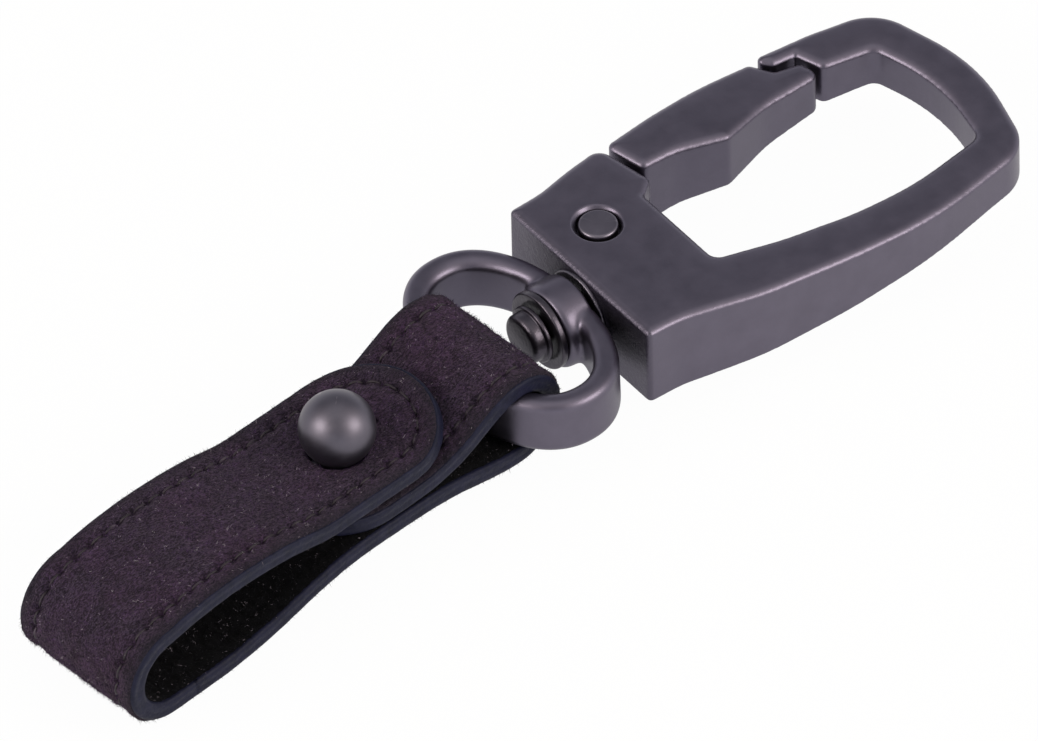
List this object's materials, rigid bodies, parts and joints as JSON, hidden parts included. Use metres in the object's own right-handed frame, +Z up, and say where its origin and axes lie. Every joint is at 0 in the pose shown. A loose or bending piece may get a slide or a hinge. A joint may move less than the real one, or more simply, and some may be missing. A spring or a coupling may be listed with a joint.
{
  "type": "snap hook",
  "caption": "Cast swivel snap hook with a sprung gate, on a folded suede strap that closes with a flap over a ball stud.",
  "frame": {"origin": "the middle of the hook's opening, on the swivel's axis and at half the hook's thickness", "axes": "+X from the strap to the hook's tip, +Y to the gate's side, +Z up through the hook's opening, away from the face that lies on the table"},
  "size_m": [0.1095, 0.0269, 0.0164],
  "materials": {
    "gunmetal_casting": "zinc alloy casting, satin gunmetal plating",
    "dark_turned_metal": "turned and plated dark, satin",
    "spring_steel": "bright drawn wire",
    "suede": "dark aubergine suede with painted edges",
    "lining": "black fuzzy lining"
  },
  "bodies": {
    "hook": {"hook_body": "gunmetal_casting", "gate_pin": "dark_turned_metal", "gate_spring": "spring_steel", "swivel_stud": "dark_turned_metal", "head_washer": "dark_turned_metal", "spacer_washer": "dark_turned_metal"},
    "gate": {"gate": "gunmetal_casting"},
    "ring": {"swivel_ring": "gunmetal_casting"},
    "strap": {"strap_suede": "suede", "strap_lining": "lining", "ball_stud": "dark_turned_metal", "stud_screw": "dark_turned_metal"},
    "flap": {"flap_suede": "suede", "flap_lining": "lining"}
  },
  "joints": [
    {"name": "gate_hinge", "type": "hinge", "parent": "hook", "child": "gate", "pos_m": [-0.02135, 0.00405, 0], "axis": [0, 0, -1], "range_deg": [0, 28], "stiffness_Nm_per_rad": 0.02, "springref_deg": -28.65, "deforming": ["gate_spring"]},
    {"name": "ring_swivel", "type": "hinge", "parent": "hook", "child": "ring", "pos_m": [-0.0293, 0, 0], "axis": [1, 0, 0], "continuous": true},
    {"name": "strap_hinge", "type": "hinge", "parent": "ring", "child": "strap", "pos_m": [-0.04057, -0.0009, 0], "axis": [-0.1045, 0.9945, 0], "range_deg": [-105, 90]},
    {"name": "flap_fold", "type": "hinge", "parent": "strap", "child": "flap", "pos_m": [-0.08393, -0.00546, -0.0016], "axis": [0.1045, -0.9945, 0], "range_deg": [0, 110], "deforming": ["flap_suede", "flap_lining"]}
  ]
}
